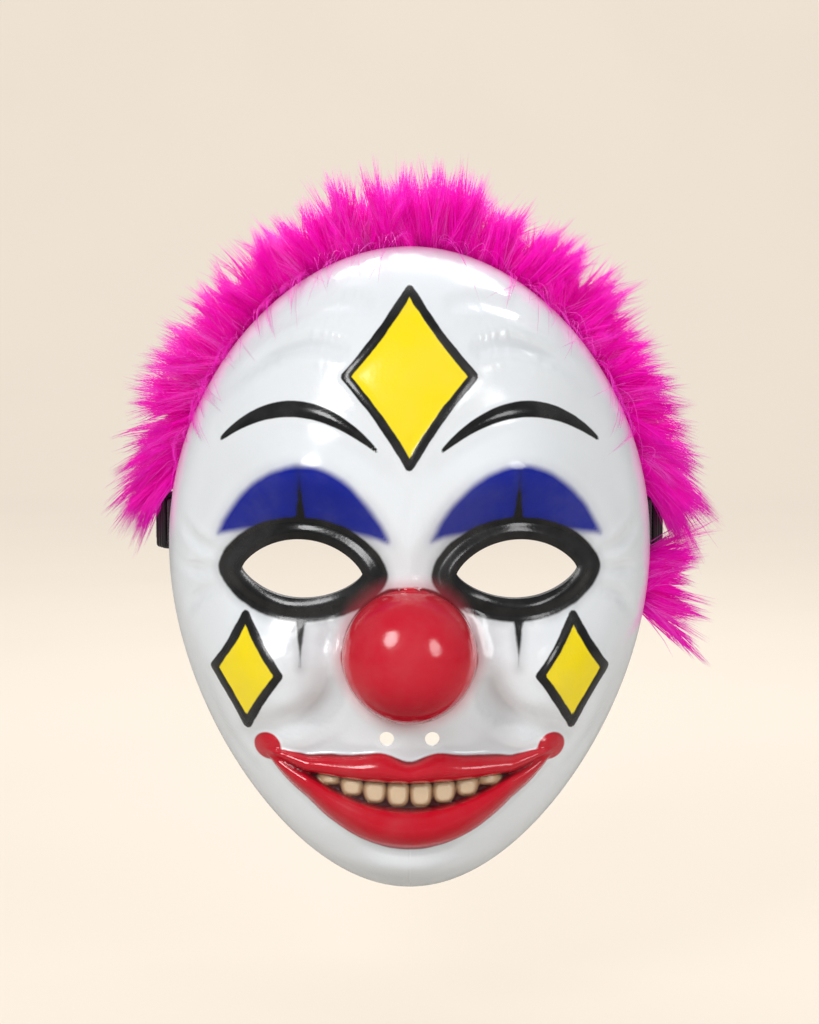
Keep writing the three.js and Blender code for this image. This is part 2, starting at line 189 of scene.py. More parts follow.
# Light from behind the paper keeps it an even cream; it throws little of it back on the mask
floor_finish, tree, shader = new_material("floor_finish")
paper = paint_over(ramp_of(noise_of(tree, 3.0), 0.3, 0.7), (0.19, 0.17, 0.145, 1), (0.175, 0.157, 0.135, 1))
set_sockets(
    shader, Base_Color=paper, Roughness=0.8, Emission_Color=(1, 0.885, 0.755, 1), Emission_Strength=0.7
)
thrown_back = add_node(tree, "ShaderNodeBsdfDiffuse", Color=(0.66, 0.63, 0.58, 1))
mirrored = add_node(tree, "ShaderNodeBsdfDiffuse", Color=(0.26, 0.25, 0.23, 1))
unseen = split_rays(tree, "Is Glossy Ray", thrown_back.outputs[0], mirrored.outputs[0])
surface = split_rays(tree, "Is Camera Ray", unseen, shader.outputs[0])
plug(tree.nodes["Material Output"].inputs["Surface"], surface)
floor.data.materials.append(floor_finish)

# Face shell. One thin vinyl moulding, cast over a polished form, with a ball nose, parted lips and rolled
# lids, trimmed at the rim. Eye holes, breathing holes and a strap slot at each temple are cut out. It is
# painted by hand and with an airbrush, then varnished. The inside is bare vinyl.
shell_half_width = 94.5
crown_rise = 121
chin_drop = 121
face_depth = 92
wall = 2
crown_rim_forward = 14
chin_rim_forward = 34
dome_fullness = 2.35
upper_taper = 0.06
end_taper = 0.1
shell_half_height = (crown_rise + chin_drop) / 2
shell_middle = (crown_rise - chin_drop) / 2

eye_spacing = 38.5
eye_level = 3
eye_half_width = 22
eye_upper_rise = 11.5
eye_lower_drop = 9.5
lid_rise = 2.6
lid_width = 6.5
socket_depth = 9
brow_rise = 6.5
brow_level = 36
brow_sag = 15
brow_width = 8
nose_radius = 23.5
nose_level = -25
nose_reach = 25
mouth_level = -76
mouth_half_width = 51
smile_rise = 14
upper_lip = 10
lower_lip = 15
lip_rise = 5.5
mouth_gap = 9.5
mouth_gap_half_width = 36
corner_dot_radius = 5.2
tooth_pitch = 8.2
tooth_count = 8
breathing_hole = {"radius": 2.6, "spacing": 8, "level": -55}
strap_slot = {"edge": 5, "width": 3.2, "height": 20, "level": 13}

# across and wide as shares of the half width, up and tall of the half height, rise of the depth
swells = [
    {"name": "forehead", "across": 0, "up": 0.55, "wide": 0.5, "tall": 0.24, "rise": 0.035},
    {"name": "nose bridge", "across": 0, "up": 0.02, "wide": 0.12, "tall": 0.17, "rise": 0.11},
    {"name": "cheek", "across": 0.56, "up": -0.26, "wide": 0.21, "tall": 0.15, "rise": 0.095},
    {"name": "temple", "across": 0.76, "up": 0.32, "wide": 0.16, "tall": 0.2, "rise": -0.03},
    {"name": "smile fold", "across": 0.31, "up": -0.38, "wide": 0.075, "tall": 0.1, "rise": -0.05},
    {"name": "under lip", "across": 0, "up": -0.81, "wide": 0.24, "tall": 0.035, "rise": -0.03},
    {"name": "chin", "across": 0, "up": -0.88, "wide": 0.24, "tall": 0.09, "rise": 0.1},
]


def bell(t):
    return np.exp(-0.5 * t * t)


def smooth_step(low, high, t):
    s = np.clip((t - low) / (high - low), 0, 1)
    return s * s * (3 - 2 * s)


def outline_trim(up):
    return 1 + upper_taper * up - end_taper * up * up


def rim_forward(up):
    return np.where(up > 0, crown_rim_forward, chin_rim_forward) * up * up


farthest = 12.0  # mm, over which a distance from an outline isn't followed


def distance_from(outline, x, z, closed=True):
    """Distance of each place from an outline, in mm, under 0 inside a closed one"""
    start = np.asarray(outline, float)
    run = np.roll(start, -1, axis=0) - start
    if not closed:
        start, run = start[:-1], run[:-1]
    low, high = start.min(0) - farthest, start.max(0) + farthest
    near = np.flatnonzero((x > low[0]) & (x < high[0]) & (z > low[1]) & (z < high[1]))
    across, up = x[near, None] - start[:, 0], z[near, None] - start[:, 1]
    share = np.clip((across * run[:, 0] + up * run[:, 1]) / (run**2).sum(1), 0, 1)
    gaps = np.hypot(across - share * run[:, 0], up - share * run[:, 1]).min(1)
    crossed = (up < 0) != (up - run[:, 1] < 0)
    slope = np.where(run[:, 1] == 0, 1, run[:, 1])
    inside = (crossed & (across < up / slope * run[:, 0])).sum(1) % 2 == 1
    result = np.full(x.shape, farthest)
    result[near] = np.minimum(gaps, farthest) * np.where(inside & closed, -1, 1)
    return result


# Outlines of the features on the viewer's right, as (x, z) points; those beside the middle are mirrored
def eye_hole_outline(steps):
    turn = np.arange(steps) * 2 * np.pi / steps
    across = np.cos(turn)
    rise = np.where(np.sin(turn) > 0, eye_upper_rise, -eye_lower_drop) * (1 - across**2) ** 0.75
    return np.column_stack([eye_spacing + eye_half_width * across, eye_level + rise])


def diamond(middle_x, middle_z, half_wide, half_tall):
    """Four sides that bend in a little"""
    corners = np.array([(half_wide, 0), (0, half_tall), (-half_wide, 0), (0, -half_tall)], float)
    points = []
    for a, b in zip(corners, np.roll(corners, -1, axis=0)):
        for share in np.linspace(0, 1, 9)[:-1]:
            points.append((a + (b - a) * share) * (1 - 0.22 * share * (1 - share)))
    return np.array(points) + (middle_x, middle_z)


def band(low_edge, high_edge, low_x, high_x, steps=48):
    """The outline between two edges, each a height over x"""
    x = low_x + (high_x - low_x) * (0.5 - 0.5 * np.cos(np.linspace(0, np.pi, steps)))
    return np.vstack([np.column_stack([x, low_edge(x)]), np.column_stack([x, high_edge(x)])[-2:0:-1]])


def circle(middle_x, middle_z, radius, steps=40):
    turn = np.arange(steps) * 2 * np.pi / steps
    return np.column_stack([middle_x + radius * np.cos(turn), middle_z + radius * np.sin(turn)])


def eye_patch():
    turn = np.arange(72) * 2 * np.pi / 72
    rise = np.where(np.sin(turn) > 0, 19.5, -17.5) * np.abs(np.sin(turn)) ** 1.2
    return np.column_stack([eye_spacing + 31 * np.cos(turn), eye_level + rise])


def spear(side):
    """One half of the fine black line down through an eye, up for side 1 and down for -1"""
    reach = 37 if side > 0 else 33
    rise = np.linspace(0, 1, 16)
    half = 4.2 * (1 - rise) ** 1.3 + 0.05
    left = np.column_stack([eye_spacing - half, eye_level + side * reach * rise])
    right = np.column_stack([eye_spacing + half, eye_level + side * reach * rise])
    return np.vstack([left, right[::-1]])


def crescent():
    t = lambda x: np.clip((x - eye_spacing) / 31, -1, 1)
    low = lambda x: 15 + 3 * (1 - t(x) ** 2)
    high = lambda x: 15.2 + 26 * (1 - t(x) ** 2) ** 0.85
    return band(low, high, 7.6, 69.4)


def brow():
    t = lambda x: np.clip((x - 40) / 29, -1, 1)
    middle = lambda x: 60.5 - 13 * t(x) ** 2 + 1.5 * t(x)
    half = lambda x: 0.5 + 2.4 * np.sqrt(1 - t(x) ** 2) ** 1.2
    return band(lambda x: middle(x) - half(x), lambda x: middle(x) + half(x), 11, 69)


def mouth_line(x):
    return mouth_level + smile_rise * (x / mouth_half_width) ** 2


def lip_share(x):
    return np.sqrt(np.maximum(0, 1 - (x / mouth_half_width) ** 2))


def mouth_gap_at(x):
    return mouth_gap / 2 * np.maximum(0, 1 - (x / mouth_gap_half_width) ** 2) ** 0.85


def lip_reach(x, upper):
    """Height of a lip over the mouth's gap; the upper one has a soft bow"""
    bow = 1 + 0.14 * bell((np.abs(x) - 10) / 5) - 0.2 * bell(x / 4.5)
    return np.where(upper, upper_lip * bow, lower_lip) * lip_share(x) ** 1.1 + 0.01


def lips():
    high = lambda x: mouth_line(x) + mouth_gap_at(x) + lip_reach(x, True)
    low = lambda x: mouth_line(x) - mouth_gap_at(x) - lip_reach(x, False)
    return band(low, high, -mouth_half_width, mouth_half_width, 90)


def mouth_opening():
    low = lambda x: mouth_line(x) - mouth_gap_at(x)
    high = lambda x: mouth_line(x) + mouth_gap_at(x)
    return band(low, high, -mouth_gap_half_width, mouth_gap_half_width, 60)


def from_teeth(x, z):
    """Distance from the nearest tooth, in mm, under 0 inside it"""
    column = np.clip(np.round(x / tooth_pitch - 0.5), -tooth_count / 2, tooth_count / 2 - 1)
    middle = (column + 0.5) * tooth_pitch
    half_tall = mouth_gap_at(middle) * 0.94
    half_wide = 0.47 * tooth_pitch
    level = mouth_line(middle) + 0.5
    narrower = 1 + 0.1 * (z - level) / half_tall.clip(1)
    share = np.abs((x - middle) / half_wide / narrower) ** 3 + np.abs((z - level) / (half_tall + 0.1)) ** 3
    return (share ** (1 / 3) - 1) * np.minimum(half_wide, half_tall)


nose_base = 22.6  # radius of the circle where the nose stands on the face


def paint_distances(x, z):
    """Distance from each painted shape, by name"""
    across = np.abs(x)
    nearest = lambda *outlines: np.min([distance_from(outline, across, z) for outline in outlines], 0)
    dot = circle(mouth_half_width, mouth_level + smile_rise + 1.5, corner_dot_radius)
    on_forehead = distance_from(diamond(0, 72, 22.5, 31), x, z)
    return {
        "eye_black": nearest(eye_patch(), spear(1), spear(-1)),
        "yellow": np.minimum(on_forehead, nearest(diamond(58.5, -33, 12.5, 20))),
        "blue": nearest(crescent()),
        "brow": nearest(brow()),
        "lips": np.minimum(distance_from(lips(), x, z), nearest(dot)),
        "mouth": distance_from(mouth_opening(), x, z),
        "tooth": from_teeth(x, z),
        "nose": np.hypot(x, z - nose_level) - nose_base,
    }


# Creases of the skin on one side of the face: a line, its depth and half its width
def curve_through(knots, steps=24):
    knots = np.array(knots, float)
    run = np.linspace(0, 1, len(knots))
    fit = [np.polynomial.Polynomial.fit(run, knots[:, axis], len(knots) - 1) for axis in (0, 1)]
    t = np.linspace(0, 1, steps)
    return np.column_stack([line(t) for line in fit])


creases = [
    {"line": [(16, 98), (36, 97), (60, 84)], "depth": 1.9, "half": 1.8},
    {"line": [(25, 82), (45, 82), (71, 66)], "depth": 2.1, "half": 1.9},
    {"line": [(72, 9), (79, 12), (86, 19)], "depth": 1.5, "half": 1.4},
    {"line": [(73, 2), (81, 1), (88, 3)], "depth": 1.5, "half": 1.4},
    {"line": [(71, -5), (78, -9), (84, -16)], "depth": 1.4, "half": 1.4},
    {"line": [(25, -36), (35, -47), (50, -53), (64, -66)], "depth": 1.8, "half": 3.0},
    {"line": [(20, -17), (28, -20), (38, -21), (54, -14)], "depth": 0.7, "half": 2.6},
    {"line": [(58, -71), (69, -59), (76, -42)], "depth": 1.1, "half": 1.7},
]


def crease_depth(x, z):
    across = np.abs(x)
    depth = np.zeros_like(x)
    for crease in creases:
        line = curve_through(crease["line"])
        # whole mm, so the flanks are a little stepped
        away = np.floor(distance_from(line, across, z, closed=False))
        along = np.hypot(*(np.stack([across, z]) - line[len(line) // 2][:, None]))
        reach = np.hypot(*(line[0] - line[-1])) / 2
        groove = bell(away / crease["half"]) - 0.45 * bell(away / crease["half"] - 2.6)
        depth += crease["depth"] * groove * bell(along / reach * 1.35)
    return depth


def relief(x, z, fine):
    """Height of the moulded features over the plain dome; fine adds those too small for the inside"""
    across = np.abs(x)
    height = np.zeros_like(x)
    for row in swells:
        up = bell((z - shell_middle - row["up"] * shell_half_height) / (row["tall"] * shell_half_height))
        side = bell((across - row["across"] * shell_half_width) / (row["wide"] * shell_half_width))
        height += row["rise"] * face_depth * up * side
    eye_across = across - eye_spacing
    eye_up = z - eye_level
    eye_share = eye_across / eye_half_width
    height -= socket_depth * bell(eye_share / 1.25) * bell(eye_up / (1.5 * eye_upper_rise))
    brow_line = brow_level - brow_sag * (eye_share / 1.4) ** 2
    height += brow_rise * bell((eye_up - brow_line) / brow_width) * bell(eye_share / 1.1)

    from_line = z - mouth_line(x)
    beyond_gap = np.abs(from_line) - mouth_gap_at(x)
    share = np.clip(beyond_gap / lip_reach(x, from_line > 0), 0, 1)
    lip = lip_rise * np.sin(np.pi * share**0.9) ** 0.8 * lip_share(x) ** 0.6
    height += np.where(np.abs(x) < mouth_half_width, lip, 0)
    height -= crease_depth(x, z)
    if not fine:
        return height

    from_hole = distance_from(eye_hole_outline(96), across, z)
    peak = 0.3 * lid_width
    inner_side = 1 - 0.3 * ((peak - from_hole) / (peak + 1)) ** 2
    outer_side = 0.5 + 0.5 * np.cos(np.pi * np.clip((from_hole - peak) / (1.1 * lid_width - peak), 0, 1))
    height += lid_rise * np.where(from_hole < peak, np.clip(inner_side, 0, 1), outer_side)

    shapes = paint_distances(x, z)
    height += 0.75 * bell(shapes["yellow"] / 1.4)
    height += 0.9 * smooth_step(0.6, -2.2, shapes["brow"])
    height += 1.1 * bell((shapes["nose"] - 2.5) / 2.2)
    dot = np.hypot(across - mouth_half_width, z - mouth_level - smile_rise - 1.5) / corner_dot_radius
    height += 1.9 * np.clip(1 - dot**2, 0, 1) ** 0.75
    in_gap = smooth_step(0.5, -0.7, shapes["mouth"])
    height += in_gap * (2.1 * smooth_step(0.35, -1.5, shapes["tooth"]) - 1.1)

    # The cast is never quite even: broad, shallow waves bend its highlights
    waves = np.random.default_rng(3)
    for _ in range(14):
        way = waves.uniform(0, 2 * np.pi)
        length = waves.uniform(26, 60)
        run = (x * np.cos(way) + z * np.sin(way)) * 2 * np.pi / length
        height += 0.0011 * length * np.sin(run + waves.uniform(0, 6))
    return height


def face_points(p, q, inset, fine):
    """Points of the face over the disc inside the rim, at a depth into the wall"""
    radius = np.minimum(1, np.hypot(p, q))
    x = (shell_half_width - inset) * outline_trim(q) * p
    z = shell_middle + (shell_half_height - inset) * q
    plain = rim_forward(q) + (face_depth - inset) * (1 - radius**dome_fullness) ** (1 / dome_fullness)
    fade = 1 - smooth_step(0.82, 0.97, radius)
    return np.column_stack([x, -plain - relief(x, z, fine) * fade, z])


def grid_lines(count, *dense):
    """Grid lines from -1 to 1, closer at some places, each a middle, a spread and how much closer"""
    t = np.linspace(-1, 1, 2001)
    weight = 1 + sum(extra * bell((t - middle) / spread) for middle, spread, extra in dense)
    run = np.concatenate([[0], np.cumsum((weight[1:] + weight[:-1]) / 2)])
    return np.interp(np.linspace(0, run[-1], count + 1), run, t)


def face_form(name, columns, rows, inset, tail, fine):
    """The solid in front of the rim, with a tail that runs out behind it"""
    across, up = grid_lines(columns, (0, 0.42, 0.5)), grid_lines(rows, (-0.52, 0.13, 1.1), (0, 0.3, 0.4))
    u, v = np.meshgrid(across, up)
    p, q = u * np.sqrt(1 - v * v / 2), v * np.sqrt(1 - u * u / 2)
    out = np.hypot(p, q).clip(1e-9, 1)
    scale = np.sin(out * (0.78 + 0.22 * out**2) * np.pi / 2) / out
    points = face_points((p * scale).ravel(), (q * scale).ravel(), inset, fine)
    at = np.arange(len(points)).reshape(rows + 1, columns + 1)
    faces = np.stack([at[:-1, :-1], at[:-1, 1:], at[1:, 1:], at[1:, :-1]], -1).reshape(-1, 4).tolist()
    rim = np.concatenate([at[0, :-1], at[:-1, -1], at[-1, :0:-1], at[:0:-1, 0]])
    ring = rim
    if tail:
        ring = len(points) + np.arange(len(rim))
        points = np.vstack([points, points[rim] + (0, tail, 0)])
        faces += np.column_stack([np.roll(rim, -1), rim, ring, np.roll(ring, -1)]).tolist()
    points = np.vstack([points, (0, tail, shell_middle)])
    faces += [(b, a, len(points) - 1) for a, b in zip(ring.tolist(), np.roll(ring, -1).tolist())]
    return link_mesh(name, points, faces)


def ball(name, radius, middle, columns, rows):
    """A closed ball with its poles in front and behind"""
    turn, tip = np.meshgrid(np.arange(columns) * 2 * np.pi / columns, np.arange(1, rows) * np.pi / rows)
    ring = np.stack([np.sin(tip) * np.cos(turn), -np.cos(tip), np.sin(tip) * np.sin(turn)], -1)
    points = np.vstack([ring.reshape(-1, 3), (0, -1, 0), (0, 1, 0)]) * radius + middle
    at = np.arange((rows - 1) * columns).reshape(rows - 1, columns)
    after = np.roll(at, -1, axis=1)
    faces = np.stack([at[:-1], after[:-1], after[1:], at[1:]], -1)[..., ::-1].reshape(-1, 4).tolist()
    front, back = len(points) - 2, len(points) - 1
    faces += [(front, a, b) for a, b in zip(at[0].tolist(), after[0].tolist())]
    faces += [(back, b, a) for a, b in zip(at[-1].tolist(), after[-1].tolist())]
    return link_mesh(name, points, faces)


def prism(name, outline, start, end):
    """An (x, z) outline run along Y"""
    count = len(outline)
    points = [(x, y, z) for y in (start, end) for x, z in outline]
    sides = [(i, (i + 1) % count, count + (i + 1) % count, count + i) for i in range(count)]
    return link_mesh(name, points, sides + [tuple(range(count))[::-1], tuple(range(count, 2 * count))])


def combine(target, tool, operation):
    """Joins a closed tool to a closed target, or cuts it out, and removes the tool"""
    step = target.modifiers.new("step", "BOOLEAN")
    step.operation = operation
    step.solver = "MANIFOLD"
    step.material_mode = "TRANSFER"
    step.object = tool
    evaluated = target.evaluated_get(bpy.context.evaluated_depsgraph_get())
    mesh = bpy.data.meshes.new_from_object(evaluated)
    target.modifiers.clear()
    target.data = mesh
    bpy.data.objects.remove(tool)


def wound_outward(made):
    """Turns the faces of a closed mesh out, whichever way its outline ran"""
    work = bmesh.new()
    work.from_mesh(made.data)
    bmesh.ops.recalc_face_normals(work, faces=work.faces)
    work.to_mesh(made.data)
    work.free()
    return made


painted_vinyl, painted_tree, painted_shader = new_material("painted_vinyl")
bare_vinyl, bare_tree, bare_shader = new_material("bare_vinyl")

nose_on = np.array([[0.0], [(nose_level - shell_middle) / shell_half_height]])
nose_face = -face_points(nose_on[0], nose_on[1], 0, False)[0, 1]
nose_middle = (0, nose_radius - nose_reach - nose_face, nose_level)

shell = face_form("face_shell_painted", 230, 300, 0, 0, True)
nose = ball("nose", nose_radius, nose_middle, 88, 60)
inside_form = face_form("inside_form", 84, 104, wall, 36, False)
inside_nose = ball("inside_nose", nose_radius - wall, nose_middle, 44, 30)
for form in (shell, nose):
    form.data.materials.append(painted_vinyl)
for form in (inside_form, inside_nose):
    form.data.materials.append(bare_vinyl)
combine(shell, nose, "UNION")
combine(inside_form, inside_nose, "UNION")
combine(shell, inside_form, "DIFFERENCE")
# The tools that cut the holes run through the wall with room to spare
hole_front, hole_back = -150, -30
slot_inside, slot_outside = 70, 120
edge, width, height, level = (strap_slot[key] for key in ("edge", "width", "height", "level"))
for side in (-1, 1):
    breath = circle(side * breathing_hole["spacing"], breathing_hole["level"], breathing_hole["radius"], 28)
    corners = [(side * slot_inside, level - height / 2), (side * slot_outside, level - height / 2)]
    corners += [(x, level + height / 2) for x, _ in corners[::-1]]
    for hole in (
        prism("eye_hole", eye_hole_outline(96) * (side, 1), hole_front, hole_back),
        prism("breathing_hole", breath, hole_front, hole_back),
        prism("strap_slot", corners, -edge - width, -edge),
    ):
        hole.data.materials.append(bare_vinyl)
        combine(shell, wound_outward(hole), "DIFFERENCE")


def read(items, key, width, kind=np.float32):
    """A property of all of a mesh's points, edges or faces, a row each"""
    values = np.empty(len(items) * width, kind)
    items.foreach_get(key, values)
    return values.reshape(-1, width)


def points_of(mesh):
    """A mesh's points, in mm"""
    return (read(mesh.vertices, "co", 3) / mm).astype(float)


def mark_sharp(mesh, angle):
    """Smooth shading, with sharp edges where two faces meet at more than an angle"""
    mesh.polygons.foreach_set("use_smooth", [True] * len(mesh.polygons))
    normals = read(mesh.polygons, "normal", 3)
    corner_edges = read(mesh.loops, "edge_index", 1, np.int32)[:, 0]
    faces = np.repeat(np.arange(len(mesh.polygons)), read(mesh.polygons, "loop_total", 1, np.int32)[:, 0])
    order = np.argsort(corner_edges, kind="stable")
    edges, faces = corner_edges[order], faces[order]
    pairs = np.flatnonzero(edges[1:] == edges[:-1])
    turn = (normals[faces[pairs]] * normals[faces[pairs + 1]]).sum(1)
    sharp = np.zeros(len(mesh.edges), bool)
    sharp[edges[pairs]] = turn < math.cos(math.radians(angle))
    mesh.attributes.new("sharp_edge", "BOOLEAN", "EDGE").data.foreach_set("value", sharp)


def store(mesh, name, values):
    """Keeps a value for each point, for the shader"""
    mesh.attributes.new(name, "FLOAT", "POINT").data.foreach_set("value", np.asarray(values, np.float32))


def averaged(mesh, values, rounds, share=1.0):
    """Values of a mesh's points, each moved toward the mean of its neighbours, round after round"""
    ends = read(mesh.edges, "vertices", 2, np.int32)
    here, beside = np.vstack([ends, ends[:, ::-1]]).T
    neighbours = np.bincount(here)[:, None]
    for _ in range(rounds):
        total = [np.bincount(here, column[beside]) for column in values.T]
        values = values + share * (np.column_stack(total) / neighbours - values)
    return values


def hollowness(mesh, rounds):
    """How far each point lies under its smoothed surroundings, in mm, under 0 on ridges"""
    points, normals = read(mesh.vertices, "co", 3), read(mesh.vertices, "normal", 3)
    soft = averaged(mesh, points.astype(float), rounds)
    depth = ((soft - points) * normals).sum(1) / mm
    return averaged(mesh, depth[:, None], 5)[:, 0]


def soften(mesh, share, rounds):
    """Rounds off a mesh's edges where share is over 0"""
    points = read(mesh.vertices, "co", 3).astype(float)
    mesh.vertices.foreach_set("co", averaged(mesh, points, rounds, share[:, None]).ravel())
    mesh.update()


def from_nose(mesh):
    return np.linalg.norm(points_of(mesh) - nose_middle, axis=1) - nose_radius


on_ball = (np.abs(from_nose(shell.data)) < 0.02).astype(float)
seam = averaged(shell.data, on_ball[:, None], 5)[:, 0]
soften(shell.data, 0.75 * (1 - np.abs(2 * seam - 1)) ** 0.6, 14)
x, y, z = points_of(shell.data).T
lip_edge = bell(paint_distances(x, z)["lips"] / 0.9)
lip_line = bell((z - mouth_line(x)) / 1.1) * (np.abs(x) > 30) * (np.abs(x) < 53)
soften(shell.data, 0.6 * np.maximum(lip_edge, lip_line) * (y < -40), 4)
x, y, z = points_of(shell.data).T
for name, distance in {**paint_distances(x, z), "nose": from_nose(shell.data)}.items():
    store(shell.data, name, distance)
store(shell.data, "eye_hole", distance_from(eye_hole_outline(96), np.abs(x), z))
store(shell.data, "hollow", hollowness(shell.data, 40))
store(shell.data, "from_rim", -y - rim_forward((z - shell_middle) / shell_half_height))
mark_sharp(shell.data, 38)


def maths(operation, first, second=0.0):
    """The output of a math node"""
    made = add_node(first.id_data, "ShaderNodeMath", {"operation": operation})
    for socket, value in zip(made.inputs, (first, second)):
        plug(socket, value)
    return made.outputs[0]


def plus(first, second):
    return maths("ADD", first, second)


def minus(first, second):
    return maths("SUBTRACT", first, second)


def times(first, second):
    return maths("MULTIPLY", first, second)


def new_group(name, inputs, outputs):
    """A shader node group with named values, and the sockets inside it"""
    group = bpy.data.node_groups.new(name, "ShaderNodeTree")
    for label, value in inputs.items():
        socket = group.interface.new_socket(label, in_out="INPUT", socket_type="NodeSocketFloat")
        socket.default_value = value
    for label in outputs:
        group.interface.new_socket(label, in_out="OUTPUT", socket_type="NodeSocketFloat")
    return group, group.nodes.new("NodeGroupInput").outputs, group.nodes.new("NodeGroupOutput").inputs


def use_group(tree, group, **sockets):
    return add_node(tree, "ShaderNodeGroup", {"node_tree": group}, **sockets).outputs


def field(tree, name):
    """A value that is kept for each point of the mesh"""
    return add_node(tree, "ShaderNodeAttribute", {"attribute_name": name}).outputs["Fac"]


def bump_of(height, strength, distance, under=None, invert=False):
    """The normal of a fine relief, on top of the relief under it"""
    made = add_node(height.id_data, "ShaderNodeBump", {"invert": invert}, Height=height)
    set_sockets(made, Strength=strength, Distance=distance)
    if under:
        plug(made.inputs["Normal"], under)
    return made.outputs["Normal"]


# A shape that is painted on: its edge is the distance 0, softened, and wanders a little with the hand
painted_shape, given, gives = new_group(
    "painted_shape", {"Distance": 0.0, "Softness": 0.3, "Wander": 0.4, "Fineness": 160.0}, ["Mask"]
)
wander = times(minus(noise_of(painted_shape, given["Fineness"], 3.0), 0.5), given["Wander"])
edge = plus(given["Distance"], wander)
plug(gives["Mask"], ramp_of(edge, given["Softness"], times(given["Softness"], -1.0)))

# Height of a fine surface: the skin of a moulding or a varnish, with a few specks of dust under it
fine_skin, given, gives = new_group("fine_skin", {"Peel": 900.0, "Speck": 0.4}, ["Height", "Smudge"])
place = object_place(fine_skin)
cells = add_node(fine_skin, "ShaderNodeTexVoronoi", Vector=place, Scale=420.0).outputs["Distance"]
rare = ramp_of(noise_of(fine_skin, 70.0, 1.0, place=place), 0.56, 0.62)
specks = times(times(ramp_of(cells, 0.1, 0.04), given["Speck"]), rare)
plug(gives["Height"], plus(noise_of(fine_skin, given["Peel"], place=place), specks))
plug(gives["Smudge"], ramp_of(noise_of(fine_skin, 38.0, 4.0, 0.6, place), 0.35, 0.68))

varnish_white = (0.82, 0.845, 0.87, 1)
shade_grey = (0.5, 0.51, 0.53, 1)
paint_yellow = (0.98, 0.76, 0.003, 1)
painted_shade_yellow = (0.8, 0.47, 0.004, 1)
paint_blue = (0.001, 0.011, 0.29, 1)
paint_black = (0.0035, 0.0035, 0.004, 1)
lip_red = (0.56, 0.0035, 0.018, 1)
painted_shade_red = (0.2, 0.002, 0.008, 1)
nose_red = (0.6, 0.0055, 0.024, 1)
red_haze = (0.72, 0.04, 0.08, 1)
mouth_dark = (0.05, 0.001, 0.003, 1)
tooth_cream = (0.74, 0.56, 0.37, 1)
tooth_brown = (0.5, 0.3, 0.16, 1)
pile_reflection_pink = (0.9, 0.16, 0.62, 1)
handling_grey = (0.45, 0.42, 0.4, 1)


def painted_mask(distance, softness, wander, fineness=160.0):
    """Where a paint lies, from the distance of its edge"""
    made = add_node(distance.id_data, "ShaderNodeGroup", {"node_tree": painted_shape}, Distance=distance)
    return set_sockets(made, Softness=softness, Wander=wander, Fineness=fineness).outputs["Mask"]


def shape(name, softness, wander, offset=0.0, fineness=160.0):
    """The mask of a painted shape, let out by an offset"""
    return painted_mask(minus(field(painted_tree, name), offset), softness, wander, fineness)


tree = painted_tree
skin = use_group(tree, fine_skin, Peel=850.0, Speck=0.5)
hollow = field(tree, "hollow")
place = add_node(tree, "ShaderNodeSeparateXYZ", Vector=object_place(tree)).outputs
# Painted reflected light: the pink pile's light is painted on the white near the rim, fading away from it
painted_pile_reflection = ramp_of(plus(field(tree, "from_rim"), times(noise_of(tree, 60.0), 16.0)), 44.0, 8.0, 0.0, 0.5)
blue_mask = shape("blue", 1.6, 2.2, fineness=60.0)
yellow_mask = shape("yellow", 0.35, 0.8)
from_line = minus(maths("ABSOLUTE", field(tree, "yellow")), 1.6)
black_mask = maths("MAXIMUM", painted_mask(from_line, 0.3, 0.9, 130.0), shape("brow", 0.3, 0.35))
black_mask = maths("MAXIMUM", black_mask, shape("eye_black", 0.55, 0.9))
lip_mask = shape("lips", 0.35, 0.55)
mouth_mask = shape("mouth", 0.4, 0.5)
# Painted shade: the nose red darkens in the hollow round its seam and toward its underside
shaded_nose_red = paint_over(ramp_of(hollow, -0.05, 0.5), nose_red, painted_shade_red)
shaded_nose_red = paint_over(ramp_of(place["Z"], -0.03, -0.047, 0.0, 0.5), shaded_nose_red, painted_shade_red)
tooth_tone = paint_over(ramp_of(field(tree, "tooth"), -1.5, -0.1), tooth_cream, tooth_brown)
# Layers from the ground up, each where it lies and its colour: coats of paint, with painted reflected light
# from the pile near the rim and painted shade in the hollows of the yellow, lips and nose
layers = [
    # painted reflected light from the pink pile, on the upper part only
    (times(painted_pile_reflection, ramp_of(place["Z"], 0.015, 0.05)), pile_reflection_pink),
    (times(shape("blue", 4.5, 2.0, 0.5), 0.3), paint_blue),
    (blue_mask, paint_blue),
    # painted shade: the yellow darkens in the hollows
    (yellow_mask, paint_over(ramp_of(hollow, 0.0, 0.35), paint_yellow, painted_shade_yellow)),
    (times(shape("eye_black", 3.2, 1.5, 0.8), 0.35), paint_black),
    (black_mask, paint_black),
    # painted shade: the lip red darkens in the hollows
    (lip_mask, paint_over(ramp_of(hollow, 0.0, 0.6), lip_red, painted_shade_red)),
    (mouth_mask, mouth_dark),
    (times(shape("tooth", 0.45, 0.5), mouth_mask), tooth_tone),
    (times(shape("nose", 4.5, 3.0, 2.5, 50.0), 0.45), red_haze),
    (shape("nose", 0.5, 0.9, 1.1), shaded_nose_red),
    (times(skin["Smudge"], 0.05), handling_grey),
]
